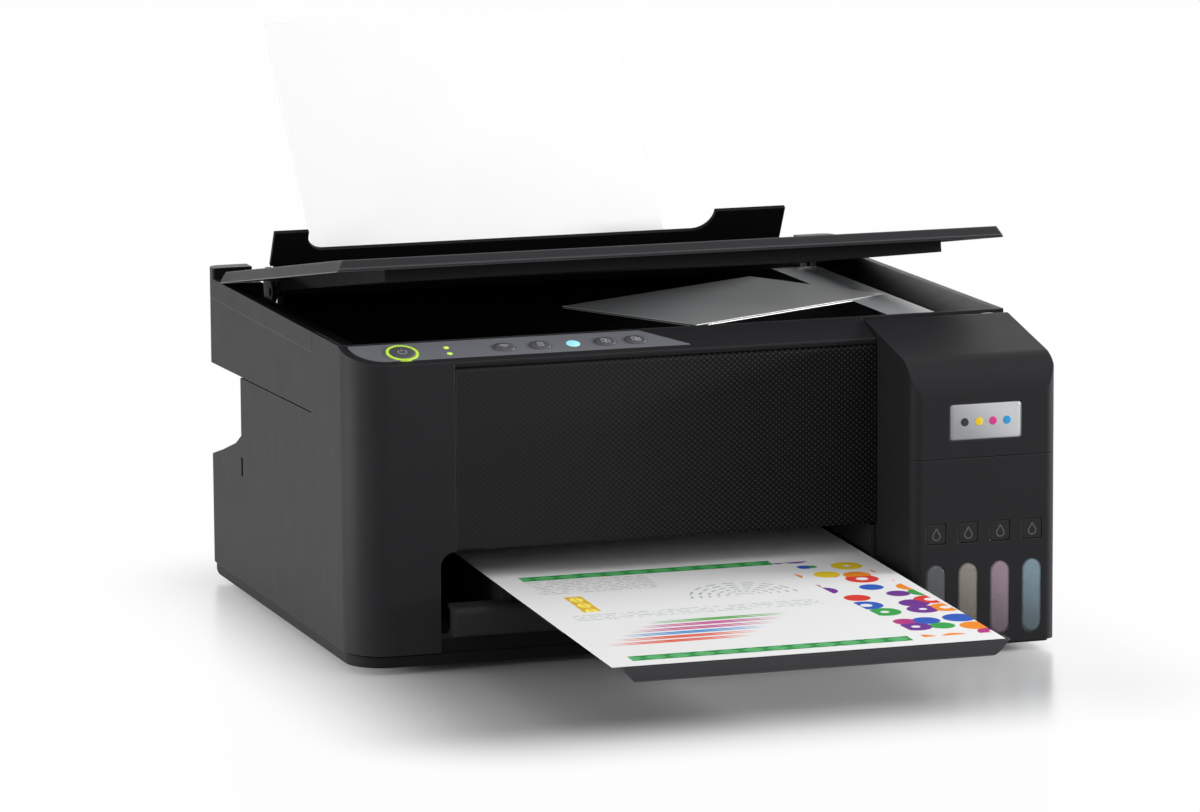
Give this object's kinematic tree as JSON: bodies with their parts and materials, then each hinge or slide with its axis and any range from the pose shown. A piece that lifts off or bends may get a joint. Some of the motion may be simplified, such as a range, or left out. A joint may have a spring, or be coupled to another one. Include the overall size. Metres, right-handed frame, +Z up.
{
  "type": "inkjet printer",
  "caption": "Tank-fed inkjet printer with a flatbed scanner, a rear sheet feeder, a telescoping output tray and working covers.",
  "frame": {"origin": "on the standing surface, below the centre of the printer as it stands with its tray and sheet out", "axes": "+X to the right, +Y to the rear, +Z up"},
  "size_m": [0.375, 0.597, 0.3042],
  "materials": {
    "shell_black": "fine-grained matt black",
    "deep_black": "matt black",
    "frame_grey": "matt dark grey",
    "panel_grey": "satin blue-grey",
    "key_grey": "satin grey",
    "light_guide": "lit translucent",
    "rubber": "matt",
    "paper": "uncoated paper",
    "photo_paper": "glossy photo paper",
    "ink_black": "clear tank with dark ink",
    "ink_yellow": "clear tank with warm grey ink",
    "ink_magenta": "clear tank with mauve ink",
    "ink_cyan": "clear tank with blue-grey ink",
    "cap_black": "satin",
    "cap_yellow": "satin",
    "cap_magenta": "satin",
    "cap_cyan": "satin",
    "steel": "zinc plated",
    "polished_steel": "ground",
    "gear_white": "natural acetal",
    "circuit_board": "solder mask",
    "glass": "polished",
    "border_grey": "printed light grey",
    "mat_black": "white foam sheet"
  },
  "bodies": {
    "root": {"base_pan": "deep_black", "main_housing": "shell_black", "front_fascia": "deep_black", "control_panel": "panel_grey", "light_guide": "light_guide", "rubber_feet": "rubber", "output_bay": "frame_grey", "tank_case": "shell_black", "black_tank": "ink_black", "yellow_tank": "ink_yellow", "magenta_tank": "ink_magenta", "cyan_tank": "ink_cyan", "tank_cover_pins": "steel", "feed_hopper": "shell_black", "rear_cover": "shell_black", "engine_frame": "frame_grey", "rail_frame": "steel", "carriage_rod": "polished_steel", "ink_tubes": "rubber", "drive_belt": "rubber", "drive_motors": "steel", "capping_station": "frame_grey", "power_supply": "deep_black", "circuit_boards": "circuit_board", "case_screws": "steel"},
    "scanner_unit": {"scanner_base": "shell_black", "scanner_frame": "deep_black", "scanner_glass": "glass", "glass_border": "border_grey", "scan_rod": "polished_steel", "photo_print": "photo_paper"},
    "scan_bar": {"scan_bar": "deep_black"},
    "document_cover": {"cover_shell": "deep_black", "cover_mat": "mat_black", "hinge_pins": "polished_steel"},
    "tank_cover": {"tank_cover": "shell_black"},
    "black_cap": {"black_cap": "cap_black"},
    "yellow_cap": {"yellow_cap": "cap_yellow"},
    "magenta_cap": {"magenta_cap": "cap_magenta"},
    "cyan_cap": {"cyan_cap": "cap_cyan"},
    "paper_support": {"paper_support": "shell_black"},
    "edge_guide": {"edge_guide": "deep_black"},
    "feeder_guard": {"feeder_guard": "deep_black"},
    "loaded_sheet": {"loaded_sheet": "paper"},
    "tray_one": {"tray_stage_one": "frame_grey"},
    "tray_two": {"tray_stage_two": "frame_grey"},
    "printed_sheet": {"printed_sheet": "paper"},
    "carriage": {"print_carriage": "deep_black"},
    "motor_pulley": {"motor_pulley": "gear_white"},
    "idler_pulley": {"idler_pulley": "gear_white"},
    "feed_roller": {"feed_roller": "polished_steel"},
    "exit_roller": {"exit_roller": "rubber"},
    "idler_gear": {"idler_gear": "gear_white"},
    "motor_pinion": {"motor_pinion": "steel"},
    "pickup_roller": {"pickup_roller": "rubber"},
    "power_button": {"power_button": "key_grey"},
    "network_button": {"network_button": "key_grey"},
    "info_button": {"info_button": "key_grey"},
    "copy_black_button": {"copy_black_button": "key_grey"},
    "copy_colour_button": {"copy_colour_button": "key_grey"}
  },
  "joints": [
    {"name": "scanner_lift", "type": "hinge", "parent": "root", "child": "scanner_unit", "pos_m": [0, 0.17344, 0.166], "axis": [-1, 0, 0], "range_deg": [0, 32]},
    {"name": "cover_hinge", "type": "hinge", "parent": "scanner_unit", "child": "document_cover", "pos_m": [0, 0.16794, 0.1764], "axis": [-1, 0, 0], "range_deg": [-9.2, 66]},
    {"name": "tank_cover_hinge", "type": "hinge", "parent": "root", "child": "tank_cover", "pos_m": [0, -0.07736, 0.16643], "axis": [-1, 0, 0], "range_deg": [0, 65]},
    {"name": "black_cap_hinge", "type": "hinge", "parent": "root", "child": "black_cap", "pos_m": [0, -0.08256, 0.11], "axis": [-1, 0, 0], "range_deg": [0, 80]},
    {"name": "yellow_cap_hinge", "type": "hinge", "parent": "root", "child": "yellow_cap", "pos_m": [0, -0.08256, 0.11], "axis": [-1, 0, 0], "range_deg": [0, 80]},
    {"name": "magenta_cap_hinge", "type": "hinge", "parent": "root", "child": "magenta_cap", "pos_m": [0, -0.08256, 0.11], "axis": [-1, 0, 0], "range_deg": [0, 80]},
    {"name": "cyan_cap_hinge", "type": "hinge", "parent": "root", "child": "cyan_cap", "pos_m": [0, -0.08256, 0.11], "axis": [-1, 0, 0], "range_deg": [0, 80]},
    {"name": "paper_support_slide", "type": "slide", "parent": "root", "child": "paper_support", "axis": [0, 0.6534, 0.757], "range_m": [-0.098, 0]},
    {"name": "edge_guide_slide", "type": "slide", "parent": "root", "child": "edge_guide", "axis": [1, 0, 0], "range_m": [0, 0.024]},
    {"name": "feeder_guard_hinge", "type": "hinge", "parent": "root", "child": "feeder_guard", "pos_m": [0, 0.18195, 0.17601], "axis": [-1, 0, 0], "range_deg": [0, 69.2]},
    {"name": "loaded_sheet_slide", "type": "slide", "parent": "root", "child": "loaded_sheet", "axis": [0, 0.6534, 0.757], "range_m": [0, 0.16]},
    {"name": "tray_one_slide", "type": "slide", "parent": "root", "child": "tray_one", "axis": [0, -0.9993, -0.0361], "range_m": [-0.097, 0]},
    {"name": "tray_two_slide", "type": "slide", "parent": "tray_one", "child": "tray_two", "axis": [0, -0.9993, -0.0361], "range_m": [-0.097, 0]},
    {"name": "printed_sheet_slide", "type": "slide", "parent": "root", "child": "printed_sheet", "axis": [0, -0.9993, -0.0361], "range_m": [0, 0.12]},
    {"name": "carriage_slide", "type": "slide", "parent": "root", "child": "carriage", "axis": [-1, 0, 0], "range_m": [0, 0.265], "deforming": ["ink_tubes"]},
    {"name": "motor_pulley_spin", "type": "hinge", "parent": "root", "child": "motor_pulley", "pos_m": [0.1625, 0.08204, 0.112], "axis": [0, 1, 0], "range_deg": [-5, 2227]},
    {"name": "idler_pulley_spin", "type": "hinge", "parent": "root", "child": "idler_pulley", "pos_m": [-0.1425, 0.08204, 0.112], "axis": [0, 1, 0], "range_deg": [-5, 2227]},
    {"name": "feed_roller_spin", "type": "hinge", "parent": "root", "child": "feed_roller", "pos_m": [0, 0.05744, 0.061], "axis": [1, 0, 0], "continuous": true},
    {"name": "exit_roller_spin", "type": "hinge", "parent": "root", "child": "exit_roller", "pos_m": [0, 0.00744, 0.061], "axis": [1, 0, 0], "continuous": true},
    {"name": "idler_gear_spin", "type": "hinge", "parent": "root", "child": "idler_gear", "pos_m": [0, 0.02744, 0.061], "axis": [1, 0, 0], "continuous": true},
    {"name": "motor_pinion_spin", "type": "hinge", "parent": "root", "child": "motor_pinion", "pos_m": [0, 0.07582, 0.07938], "axis": [1, 0, 0], "continuous": true},
    {"name": "pickup_roller_spin", "type": "hinge", "parent": "root", "child": "pickup_roller", "pos_m": [0, 0.10881, 0.10704], "axis": [1, 0, 0], "continuous": true},
    {"name": "scan_bar_slide", "type": "slide", "parent": "scanner_unit", "child": "scan_bar", "axis": [1, 0, 0], "range_m": [0, 0.278]},
    {"name": "power_button_press", "type": "slide", "parent": "root", "child": "power_button", "axis": [0, 0.3048, -0.9524], "range_m": [0, 0.0008], "stiffness_N_per_m": 200},
    {"name": "network_button_press", "type": "slide", "parent": "root", "child": "network_button", "axis": [0, 0.3048, -0.9524], "range_m": [0, 0.0008], "stiffness_N_per_m": 200},
    {"name": "info_button_press", "type": "slide", "parent": "root", "child": "info_button", "axis": [0, 0.3048, -0.9524], "range_m": [0, 0.0008], "stiffness_N_per_m": 200},
    {"name": "copy_black_button_press", "type": "slide", "parent": "root", "child": "copy_black_button", "axis": [0, 0.3048, -0.9524], "range_m": [0, 0.0008], "stiffness_N_per_m": 200},
    {"name": "copy_colour_button_press", "type": "slide", "parent": "root", "child": "copy_colour_button", "axis": [0, 0.3048, -0.9524], "range_m": [0, 0.0008], "stiffness_N_per_m": 200}
  ],
  "couplings": [
    {"joint": "motor_pulley_spin", "follows": "carriage_slide", "rad_per_m": 145.99},
    {"joint": "idler_pulley_spin", "follows": "carriage_slide", "rad_per_m": 145.99},
    {"joint": "exit_roller_spin", "follows": "feed_roller_spin", "ratio": 2},
    {"joint": "idler_gear_spin", "follows": "feed_roller_spin", "ratio": -2},
    {"joint": "motor_pinion_spin", "follows": "feed_roller_spin", "ratio": -3.3333}
  ]
}
